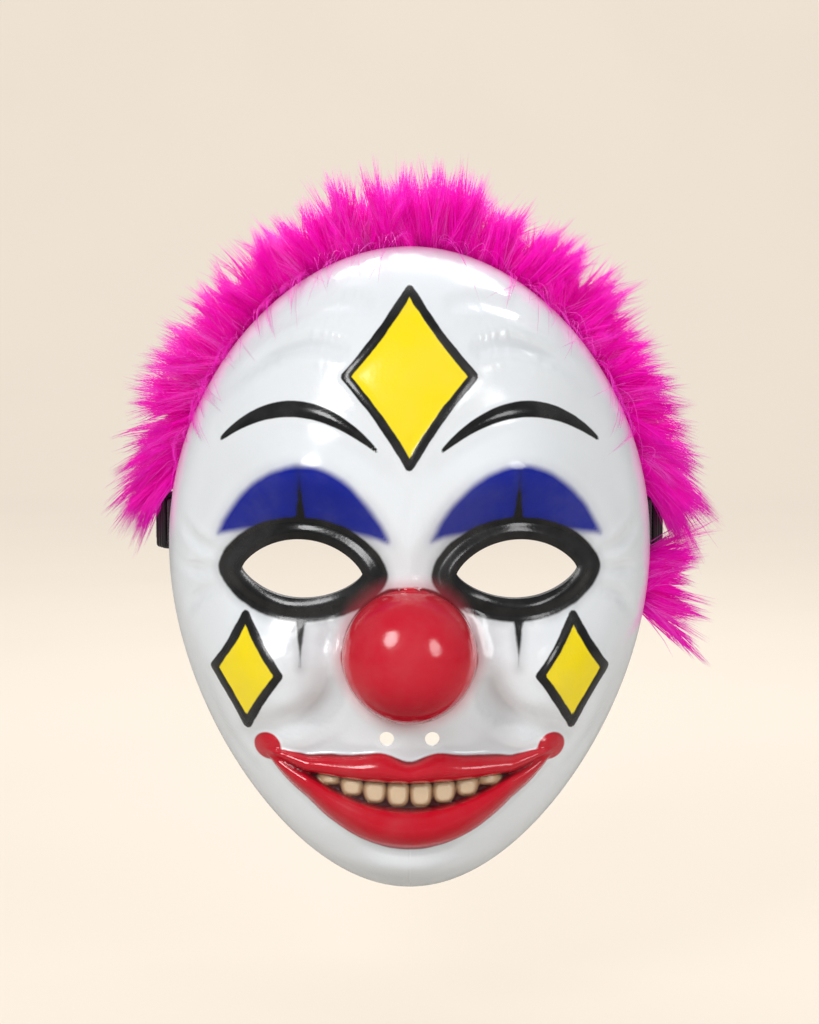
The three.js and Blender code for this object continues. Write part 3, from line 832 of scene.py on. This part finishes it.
# Painted shade: the white is greyed in the hollows of the moulding
colour = paint_over(ramp_of(hollow, 0.02, 0.5, 0.0, 0.3), varnish_white, shade_grey)
for mask, paint in layers:
    colour = paint_over(mask, colour, paint)
gloss = ramp_of(skin["Smudge"], 0.0, 1.0, 0.13, 0.22)
for mask, duller in ((black_mask, 0.06), (yellow_mask, 0.04), (mouth_mask, 0.2)):
    gloss = plus(gloss, times(mask, duller))
mould_line = ramp_of(maths("ABSOLUTE", place["X"]), 0.0006, 0.0002)
mould_line = times(mould_line, ramp_of(place["Z"], -0.09, -0.102))
paint_edge = plus(plus(black_mask, yellow_mask), plus(lip_mask, blue_mask))
surface = bump_of(mould_line, 0.6, 0.00012, bump_of(skin["Height"], 0.22, 0.0002))
surface = bump_of(paint_edge, 0.5, 0.00006, surface)
set_sockets(painted_shader, Base_Color=colour, Roughness=gloss, Normal=surface)
set_sockets(painted_shader, IOR=1.5, Coat_Weight=0.15, Coat_Roughness=0.09)

tree = bare_tree
skin = use_group(tree, fine_skin, Peel=500.0, Speck=0.8)
flow = ramp_of(noise_of(tree, 24.0, 5.0, 0.6), 0.3, 0.7)
colour = paint_over(flow, (0.8, 0.8, 0.78, 1), (0.7, 0.71, 0.71, 1))
oversprayed = painted_mask(minus(field(tree, "eye_hole"), 2.2), 3.5, 6.0, 70.0)
colour = paint_over(times(oversprayed, 0.9), colour, (0.05, 0.05, 0.055, 1))
dull = ramp_of(skin["Smudge"], 0.0, 1.0, 0.38, 0.55)
set_sockets(bare_shader, Base_Color=colour, Roughness=dull, Normal=bump_of(skin["Height"], 0.4, 0.0004))

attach(shell, "root")
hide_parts("face_shell")

# Fur trim. A knitted backing is glued inside the rim from temple to temple, and carries a deep acrylic pile
# that stands out behind the rim. The pile lies in small pointed tufts, stands up over the crown and hangs
# a little at the sides. On the viewer's right it goes on below the strap, which presses it flat.
backing_thickness = 1.6
backing_inside = 8
backing_behind = 18
trim_seat = 0.75
fur_start = math.radians(-10)
fur_end = math.radians(167)
pile_length = 37
strap_level = strap_slot["level"]
strap_width = 18
strap_room = strap_width / 2 + 3.2
pile = np.random.default_rng(11)


def rim_points(turn, inset, behind):
    up = np.sin(turn)
    x = (shell_half_width - inset) * outline_trim(up) * np.cos(turn)
    z = shell_middle + (shell_half_height - inset) * up
    return np.stack([x, behind - rim_forward(up), z], -1)


def unit(v):
    return v / np.linalg.norm(v, axis=-1, keepdims=True)


def rim_ways(turn):
    """Unit vectors out of the rim and along it"""
    out = unit(rim_points(turn, 0, 0) - rim_points(turn, 10, 0))
    along = unit(rim_points(turn + 0.01, 0, 0) - rim_points(turn - 0.01, 0, 0))
    return out, along


def tube_faces(rings, sides):
    """Faces between rings of points, each with as many sides, and over both ends"""
    at = np.arange(rings * sides).reshape(rings, sides)
    after = np.roll(at, -1, axis=1)
    faces = np.stack([at[:-1], after[:-1], after[1:], at[1:]], -1).reshape(-1, 4).tolist()
    return faces + [at[0, ::-1].tolist(), at[-1].tolist()]


# Backing: a strip with rounded edges, notched for the strap on the right
turns = np.linspace(fur_start, fur_end, 150)
outer, inner = wall + trim_seat, wall + trim_seat + backing_thickness
half_section = [(0.4, -backing_inside), (0, 0.5 - backing_inside), (0, 0), (0, backing_behind - 0.5)]
half_section.append((0.4, backing_behind))
section = [(outer + inset, behind) for inset, behind in half_section]
section += [(inner - inset, behind) for inset, behind in half_section[::-1]]
rings = np.stack([rim_points(turns, inset, behind) for inset, behind in section], 1)
backing = link_mesh("fur_backing", rings.reshape(-1, 3), tube_faces(len(turns), len(section)))
wound_outward(backing)
backing_knit, tree, shader = new_material("backing_knit")
backing.data.materials.append(backing_knit)
notch = [(80, strap_level - 11), (110, strap_level - 11), (110, strap_level + 11), (80, strap_level + 11)]
notch = wound_outward(prism("notch", notch, -15.5, 10.5))
notch.data.materials.append(backing_knit)
combine(backing, notch, "DIFFERENCE")
mark_sharp(backing.data, 50)
points = points_of(backing.data)
turn_at = np.arctan2((points[:, 2] - shell_middle) / shell_half_height, points[:, 0] / shell_half_width)
store(backing.data, "along_rim", turn_at * 110)
store(backing.data, "behind_rim", points[:, 1])

rows = add_node(tree, "ShaderNodeCombineXYZ", X=field(tree, "along_rim"), Y=field(tree, "behind_rim"))
loops = add_node(tree, "ShaderNodeTexVoronoi", Vector=rows.outputs[0], Scale=0.9, Randomness=0.35)
stitch = ramp_of(loops.outputs["Distance"], 0.15, 0.6)
colour = paint_over(stitch, (0.42, 0.006, 0.19, 1), (0.16, 0.002, 0.07, 1))
lighter = ramp_of(noise_of(tree, 60.0, 3.0), 0.45, 0.7, 0.0, 0.35)
colour = paint_over(lighter, colour, (0.5, 0.05, 0.26, 1))
knit = bump_of(stitch, 0.8, 0.0004, invert=True)
set_sockets(shader, Base_Color=colour, Roughness=0.85, Normal=knit)
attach(backing, "root")
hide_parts("fur_trim")

# Pile: tufts of fine tapered fibres. A tuft is made of strands, and a strand of fibres that close up to
# its tip. The tables below have a row for each tuft, then for each strand, then for each fibre.
tuft_count = 230
strands_in_tuft = 13
fibres_in_strand = 14
fibre_radius = 0.15
pile_fibre, tree, shader = new_material("pile_fibre")
tone, share = field(tree, "tone"), field(tree, "along_fibre")
dark_pink_and_root_shade = (0.72, 0.0006, 0.36, 1)
hot_pink = (0.99, 0.0016, 0.6, 1)
tip_highlight_pink = (1.0, 0.13, 0.74, 1)
# Painted shade darkens the fibres toward their roots, and a painted highlight lightens the tips of the
# brighter fibres; the same dark pink also marks darker strands at random
colour = paint_over(ramp_of(share, 0.02, 0.4), dark_pink_and_root_shade, hot_pink)
lit = times(ramp_of(share, 0.95, 0.5, 0.35, 1.0), ramp_of(tone, 0.5, 0.85))
colour = paint_over(lit, colour, tip_highlight_pink)
colour = paint_over(ramp_of(tone, 0.3, 0.1, 0.0, 0.6), colour, dark_pink_and_root_shade)
set_sockets(shader, Base_Color=colour, Roughness=ramp_of(tone, 0.0, 1.0, 0.42, 0.6))
# Painted light: the pile glows faintly in its own colour, which brightens it
set_sockets(shader, Specular_IOR_Level=0.28, Emission_Color=colour, Emission_Strength=0.12)


def strap_presses(points):
    """Where fibres would stand in the strap or its slide"""
    x, y, z = np.abs(points[..., 0]), points[..., 1], points[..., 2]
    tall = np.abs(z - strap_level) < strap_room
    beside = (y > -8) & (y < 30) & (x > 90) & (x < 99.5 + 0.5 * np.clip(y - 5, 0, 15))
    return tall & beside


def spread(count, size):
    return pile.normal(0, size, count)


# tufts, evenly spread, then some more that hang beside the strap
order = np.arange(tuft_count)
even_share = (order + pile.uniform(0.05, 0.95, tuft_count)) / tuft_count
tuft_turn = fur_start + (fur_end - fur_start) * even_share
beside_strap = np.concatenate([pile.uniform(0.23, 0.38, 16), np.pi - pile.uniform(0.23, 0.4, 12)])
tuft_turn = np.append(tuft_turn, beside_strap)
tuft_count = len(tuft_turn)
order = np.arange(tuft_count)
back_share = (order * 0.618034) % 1
back_share[-len(beside_strap):] *= 0.5
tuft_behind = 1.6 + (backing_behind - 2.2) * back_share
tuft_root = rim_points(tuft_turn, outer + 0.2, tuft_behind)
out, along = rim_ways(tuft_turn)
beside_face = np.cos(tuft_turn) ** 2
above_strap = smooth_step(62, 26, tuft_root[:, 2]) * (tuft_root[:, 2] > strap_level)
tuft_way = out + along * spread(tuft_count, 0.3)[:, None]
tuft_way[:, 1] += -0.5 + 1.1 * back_share + spread(tuft_count, 0.12)
below_strap = smooth_step(-22, 0, tuft_root[:, 2]) * (tuft_root[:, 2] < strap_level)
lowest = smooth_step(-9, -21, tuft_root[:, 2])
tuft_way[:, 2] += 0.3 * below_strap * (1 - lowest)
tuft_way[:, 2] -= 0.3 * beside_face * (1 - above_strap) * (1 - below_strap)
tuft_way[:, 2] -= lowest * pile.uniform(0.0, 0.45, tuft_count)
tuft_way = unit(tuft_way)
tuft_length = pile_length * pile.uniform(0.62, 1.1, tuft_count) * (1 - 0.1 * beside_face)
short = smooth_step(1.0, 0.62, tuft_length / pile_length)
tuft_sag = 0.12 * beside_face * (1 - below_strap) + above_strap * (0.45 + 0.85 * short)

# strands
tuft = tuft_of_strand = np.repeat(order, strands_in_tuft)
strand_count = len(tuft)
turn = (tuft_turn[tuft] + spread(strand_count, 0.03)).clip(fur_start + 0.01, fur_end - 0.01)
behind = (tuft_behind[tuft] + spread(strand_count, 2.6)).clip(1.6, backing_behind - 0.8)
strand_root = rim_points(turn, outer + 0.2, behind)
strand_way = unit(tuft_way[tuft] + spread((strand_count, 3), 0.09))
strand_side = unit(np.cross(strand_way, spread((strand_count, 3), 1)))
strand_bend = spread(strand_count, 0.1)
strand_length = tuft_length[tuft] * pile.uniform(0.62, 1.06, strand_count)
strand_gather = pile.uniform(0.5, 0.95, strand_count)

# fibres
strand = np.repeat(np.arange(strand_count), fibres_in_strand)
tuft = tuft[strand]
fibre_count = len(strand)
turn = (turn[strand] + spread(fibre_count, 0.011)).clip(fur_start + 0.004, fur_end - 0.004)
behind = (behind[strand] + spread(fibre_count, 1.1)).clip(1.2, backing_behind - 0.4)
roots = rim_points(turn, outer + 0.2, behind)
stray = pile.random(fibre_count) < 0.06
length = strand_length[strand] * pile.uniform(0.82, 1.04, fibre_count)
close_up = np.where(stray, pile.uniform(-0.6, 0.3, fibre_count), pile.uniform(0.72, 0.98, fibre_count))
way = unit(strand_way[strand] + spread((fibre_count, 3), 1) * np.where(stray, 0.16, 0.025)[:, None])
side_way = strand_side[strand]
curl = spread((fibre_count, 3), 0.02) * length[:, None]
steps = np.array([0.0, 0.38, 0.74, 1.0])
widths = np.array([1.0, 0.95, 0.68, 0.0])
paths = np.empty((fibre_count, len(steps), 3))
for k, s in enumerate(steps):
    to_strand = (strand_root - tuft_root[tuft_of_strand]) * (1 - strand_gather * s**0.9)[:, None]
    to_fibre = (roots - strand_root[strand]) * (1 - close_up * s**0.7)[:, None]
    paths[:, k] = tuft_root[tuft] + to_strand[strand] + to_fibre + way * (length * s)[:, None]
    paths[:, k] += side_way * (strand_bend[strand] * length * s**2)[:, None] + curl * math.sin(math.pi * s)
    paths[:, k, 2] -= tuft_sag[tuft] * length * s**2
kept = ~strap_presses(paths).any(1)
kept &= ~(np.abs(roots[:, 2] - strap_level) < strap_room)
paths, tuft, strand = paths[kept], tuft[kept], strand[kept]
fibre_tone = pile.random(tuft_count)[tuft] * 0.3 + pile.random(strand_count)[strand] * 0.4
fibre_tone += pile.random(len(tuft)) * 0.3


def fibre_piece(name, paths, widths, tones):
    """One piece of the trim: closed three-sided fibres along their paths, pointed at the tip"""
    count, knots = paths.shape[:2]
    way = unit(paths[:, -1] - paths[:, 0])
    side = unit(np.cross(way, (0.3, 0.9, 0.31)))
    other = np.cross(way, side)
    rings = []
    for k in range(knots - 1):
        for a in (0, 2 * math.pi / 3, 4 * math.pi / 3):
            offset = side * math.cos(a) + other * math.sin(a)
            rings.append(paths[:, k] + offset * fibre_radius * widths[k])
    points = np.stack(rings + [paths[:, -1]], 1)
    in_fibre = points.shape[1]
    quads, tips = [], [(0, 2, 1)]
    for a, b in ((0, 1), (1, 2), (2, 0)):
        quads += [(3 * k + a, 3 * k + b, 3 * k + 3 + b, 3 * k + 3 + a) for k in range(knots - 2)]
        tips.append((in_fibre - 4 + a, in_fibre - 4 + b, in_fibre - 1))
    first = (np.arange(count) * in_fibre)[:, None, None]
    faces = (first + np.array(quads)).reshape(-1, 4).tolist()
    faces += (first + np.array(tips)).reshape(-1, 3).tolist()
    made = link_mesh(name, points.reshape(-1, 3), faces)
    store(made.data, "tone", np.repeat(tones, in_fibre))
    gaps = np.linalg.norm(np.diff(paths, axis=1), axis=2).mean(0)
    run = np.append(0, np.cumsum(gaps)) / gaps.sum()
    along = np.append(np.repeat(run[:-1], 3), 1.0)
    store(made.data, "along_fibre", np.tile(along, count))
    made.data.materials.append(pile_fibre)
    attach(made, "root")
    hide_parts("fur_trim")


piece_fibres = 11500
for number, first in enumerate(range(0, len(paths), piece_fibres)):
    part = slice(first, first + piece_fibres)
    fibre_piece("fur_pile_%d" % (number + 1), paths[part], widths, fibre_tone[part])


def over_rim(turn, reach, lift, drift, shares):
    """Paths that leave the front of the backing, turn round the rim and lie forward over the face"""
    out_of_rim, _ = rim_ways(turn)
    count = len(turn)
    knots = [rim_points(turn, outer + 0.2, pile.uniform(1.6, 8, count))]
    knots.append(rim_points(turn, -pile.uniform(1.2, 4, count), pile.uniform(0.5, 3, count)))
    for share in shares:
        radius = (1 - (reach * share / face_depth) ** dome_fullness) ** (1 / dome_fullness)
        at = turn + drift * share**2
        above = 0.4 + lift * math.sin(math.pi * share) + 0.35 * lift * share**3
        on_face = face_points(radius * np.cos(at), radius * np.sin(at), 0, False)
        knots.append(on_face + (out_of_rim + np.array([0, -0.7, 0])) * above[:, None])
    return np.stack(knots, 1)


# Thin locks of the pile that have fallen forward over the painted edge, most of them on the viewer's left
lock_places = np.concatenate([pile.uniform(1.9, 2.84, 24), pile.uniform(0.32, 1.2, 11)])
fibres_in_lock = 10
lock = np.repeat(np.arange(len(lock_places)), fibres_in_lock)
lock_reach = pile.uniform(20, 60, len(lock_places))
lock_drift = np.sign(lock_places - np.pi / 2) * pile.uniform(-0.02, 0.12, len(lock_places))
lock_lift = pile.uniform(0.5, 3.0, len(lock_places))
turn = lock_places[lock] + spread(len(lock), 0.016)
closing = (lock_places[lock] - turn) * 0.85
lock_paths = over_rim(
    turn,
    lock_reach[lock] * pile.uniform(0.6, 1.05, len(lock)),
    lock_lift[lock] * pile.uniform(0.7, 1.3, len(lock)),
    lock_drift[lock] + closing,
    np.linspace(0.2, 1, 6),
)
lock_paths = lock_paths[~strap_presses(lock_paths).any(1)]
fibre_piece("fur_fringe", lock_paths, np.linspace(0.8, 0.3, 8), pile.random(len(lock_paths)))

# Single loose fibres that reach farther over the face
loose_count = 90
loose_paths = over_rim(
    pile.uniform(math.radians(20), math.radians(160), loose_count),
    pile.uniform(16, 58, loose_count),
    pile.uniform(1, 6, loose_count),
    spread(loose_count, 0.09),
    np.linspace(0.25, 1, 7),
)
fibre_piece("fur_loose", loose_paths, np.linspace(0.75, 0.35, 9), pile.random(loose_count))

# Elastic strap. One black woven elastic band runs in a loop behind the mask. Each end passes in through
# the slot at a temple, turns back round the rim strip, lies doubled behind it and is held by a slide.
strap_thickness = 1.4
strap_reach = 100
strap_half_span = 104.5
loop_slack = 0.5
slide_from_loop = 2.5
slide_length = 11
fold_length = 26
band_double = 2 * strap_thickness + 0.15


def wall_at(level, inset):
    up = (level - shell_middle) / (shell_half_height - inset)
    return (shell_half_width - inset) * outline_trim(up) * math.sqrt(1 - up * up)


wall_outside = wall_at(strap_level - strap_width / 2, 0)
wall_inside = wall_at(strap_level + strap_width / 2, wall)
loop_x = wall_outside + loop_slack + strap_thickness / 2
strap_half = [(loop_x + 7.5 * share, 5 + 15 * share) for share in (0, 0.33, 0.67, 1)]
for degrees in (10, 26, 44, 64):
    a = math.radians(degrees)
    strap_half.append((strap_half_span * math.cos(a), 24 + (strap_reach - 24) * math.sin(a)))
strap_knots = strap_half + [(0, strap_reach)] + [(-x, y) for x, y in strap_half[::-1]]


def smooth_route(knots, pitch):
    """Points at an even pitch on a centripetal Catmull-Rom curve through the knots"""
    knots = np.array(knots, float)
    knots = np.vstack([2 * knots[0] - knots[1], knots, 2 * knots[-1] - knots[-2]])
    fine = []
    for near in zip(knots, knots[1:], knots[2:], knots[3:]):
        t = np.append(0, np.cumsum([np.linalg.norm(b - a) ** 0.5 for a, b in zip(near, near[1:])]))
        for at in np.linspace(t[1], t[2], 60, endpoint=False):
            between = lambda a, b, low, high: a + (b - a) * (at - low) / (high - low)
            first = [between(near[k], near[k + 1], t[k], t[k + 1]) for k in range(3)]
            second = [between(first[k], first[k + 1], t[k], t[k + 2]) for k in range(2)]
            fine.append(between(*second, t[1], t[2]))
    return even_points(np.array(fine + [knots[-2]]), pitch)


def even_points(line, pitch):
    """Points at an even pitch along a line"""
    run = np.concatenate([[0], np.cumsum(np.linalg.norm(np.diff(line, axis=0), axis=1))])
    wanted = np.linspace(0, run[-1], max(2, round(run[-1] / pitch) + 1))
    return np.column_stack([np.interp(wanted, run, line[:, axis]) for axis in range(line.shape[1])])


def rounded(line, rounds):
    """A line with its corners cut, more softly each round"""
    for _ in range(rounds):
        a, b = line[:-1], line[1:]
        cut = np.stack([a + (b - a) * 0.25, a + (b - a) * 0.75], 1).reshape(-1, 2)
        line = np.vstack([line[:1], cut, line[-1:]])
    return line


route_pitch, band_pitch = 0.6, 0.9
main_route = smooth_route(strap_knots, route_pitch)
tangents = unit(np.gradient(main_route, axis=0))
inward = np.column_stack([-tangents[:, 1], tangents[:, 0]])
fold_count = round(fold_length / route_pitch)
fold_right = main_route[3:fold_count][::-1] + inward[3:fold_count][::-1] * (band_double - strap_thickness)
in_x = wall_inside - loop_slack - strap_thickness / 2
turn_y = -strap_slot["edge"] - 0.3 - strap_thickness / 2
loop_corners = [(in_x + 1.2, 2.6), (in_x, 1.6), (in_x, turn_y), (loop_x, turn_y), main_route[0]]
loop_right = rounded(np.array([fold_right[-1]] + loop_corners), 3)
fold_left = fold_right[::-1] * (-1, 1)
loop_left = loop_right[::-1] * (-1, 1)
strap_line = np.vstack([fold_right, loop_right[1:], main_route[1:], loop_left[1:], fold_left[1:]])
strap_line = even_points(strap_line, band_pitch)

ribs = np.linspace(-strap_width / 2, strap_width / 2, 25)
edge_round = np.minimum(1, (strap_width / 2 - np.abs(ribs)) / 0.5) ** 0.5
half_thick = strap_thickness / 2 * (0.3 + 0.7 * edge_round) - 0.05 * (np.arange(25) % 2)
way = unit(np.gradient(strap_line, axis=0))
side = np.column_stack([way[:, 1], -way[:, 0]])
section = [(thick, level) for thick, level in zip(half_thick, ribs)]
section += [(-thick, level) for thick, level in zip(half_thick[::-1], ribs[::-1])]
rings = [np.insert(strap_line + side * thick, 2, strap_level + level, axis=1) for thick, level in section]
strap_faces = tube_faces(len(strap_line), len(section))
strap = wound_outward(link_mesh("strap_band", np.stack(rings, 1).reshape(-1, 3), strap_faces))
mark_sharp(strap.data, 60)
run = np.arange(len(strap_line)) * band_pitch
store(strap.data, "run", np.repeat(run, len(section)))
store(strap.data, "level", np.tile([level for _, level in section], len(strap_line)))

# Cords run along the band, and rungs cross them, half a step on from cord to cord
cord_pitch, rung_pitch = 1.5, 1.1
elastic_black, tree, shader = new_material("elastic_black")
cord = maths("SINE", times(field(tree, "level"), 2 * math.pi / cord_pitch))
shift = times(ramp_of(cord, -0.2, 0.2), math.pi)
rung = maths("SINE", plus(times(field(tree, "run"), 2 * math.pi / rung_pitch), shift))
weave = plus(times(rung, 0.5), times(cord, 0.35))
gap = ramp_of(weave, -0.1, -0.7)
lint = ramp_of(noise_of(tree, 1400.0, 4.0, 0.7), 0.62, 0.75, 0.0, 0.35)
colour = paint_over(gap, (0.02, 0.0185, 0.021, 1), (0.0045, 0.004, 0.005, 1))
colour = paint_over(lint, colour, (0.09, 0.085, 0.09, 1))
set_sockets(shader, Base_Color=colour, Roughness=ramp_of(gap, 0.0, 1.0, 0.58, 0.85), Sheen_Weight=0.15)
set_sockets(shader, Normal=bump_of(weave, 0.7, 0.00025))
strap.data.materials.append(elastic_black)
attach(strap, "root")
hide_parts("elastic_strap")

# Slides. Each is a small black moulded frame with rounded edges and three grip ribs on its outer face. The
# doubled band runs through it just behind the rim, and it keeps the end from slipping back.
slide_height = 23
slide_thickness = 5.8
slide_slack = 0.5
channel_half = (strap_width / 2 + 0.3, (band_double + 2 * slide_slack) / 2)

slide_black, tree, shader = new_material("slide_black")
skin = use_group(tree, fine_skin, Peel=2600.0, Speck=0.2)
colour = paint_over(skin["Smudge"], (0.011, 0.011, 0.012, 1), (0.02, 0.02, 0.021, 1))
satin = ramp_of(skin["Smudge"], 0.0, 1.0, 0.3, 0.42)
set_sockets(shader, Base_Color=colour, Roughness=satin, Normal=bump_of(skin["Height"], 0.35, 0.0001))


def soft_corners(half_x, half_y, radius, steps=5):
    """The outline of a rectangle with round corners"""
    points = []
    for corner in range(4):
        for k in range(steps):
            a = (corner + k / (steps - 1)) * math.pi / 2
            middle_x = (half_x - radius) * (1 if corner in (0, 3) else -1)
            middle_y = (half_y - radius) * (1 if corner in (0, 1) else -1)
            points.append((middle_x + radius * math.cos(a), middle_y + radius * math.sin(a)))
    return np.array(points)


def slide_rings():
    """Rings of the slide's skin: out along the outer wall, in over one end, back through the channel"""
    half_length = slide_length / 2
    half_thick, half_tall = slide_thickness / 2, slide_height / 2
    rings = []
    outer = [(0, -half_length + 0.9), (0.27, -half_length + 0.27), (0.9, -half_length)]
    grips = []
    for k in range(-1, 2):
        grips += [(0, 3 * k - 0.9), (-0.35, 3 * k - 0.35), (-0.35, 3 * k + 0.35), (0, 3 * k + 0.9)]
    wall_run = outer[::-1] + grips + [(inset, -at) for inset, at in outer]
    for inset, at in wall_run:
        shrink = max(inset, 0)
        outline = soft_corners(half_thick - shrink, half_tall - shrink, 1.4 - 0.5 * shrink)
        outline[:, 0] += np.where(outline[:, 0] > half_thick - 1, -min(inset, 0), 0)
        rings.append(np.column_stack([outline, np.full(len(outline), at)]))
    channel = [(0.35, half_length), (0, half_length - 0.4), (0, -half_length + 0.4), (0.35, -half_length)]
    for inset, at in channel:
        outline = soft_corners(channel_half[1] + inset, channel_half[0] + inset, 0.4)
        rings.append(np.column_stack([outline, np.full(len(outline), at)]))
    return np.array(rings)


route_run = slide_from_loop + slide_length / 2
at = round(route_run / route_pitch)
for name, mirror in (("strap_slide_right", 1), ("strap_slide_left", -1)):
    rings = slide_rings()
    count, sides = rings.shape[:2]
    along, side = tangents[at], -inward[at]
    middle = main_route[at] - side * (band_double - strap_thickness) / 2
    flat = rings.reshape(-1, 3)
    points = np.column_stack(
        [middle + flat[:, :1] * side + flat[:, 2:] * along, strap_level + flat[:, 1]]
    ) * (mirror, 1, 1)
    at_ring = np.arange(count * sides).reshape(count, sides)
    after = np.roll(at_ring, -1, axis=1)
    following = np.roll(np.arange(count), -1)
    faces = np.stack([at_ring, after, after[following], at_ring[following]], -1).reshape(-1, 4).tolist()
    slide = wound_outward(link_mesh(name + "_moulded", points, faces))
    mark_sharp(slide.data, 40)
    slide.data.materials.append(slide_black)
    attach(slide, "root")
    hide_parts(name)
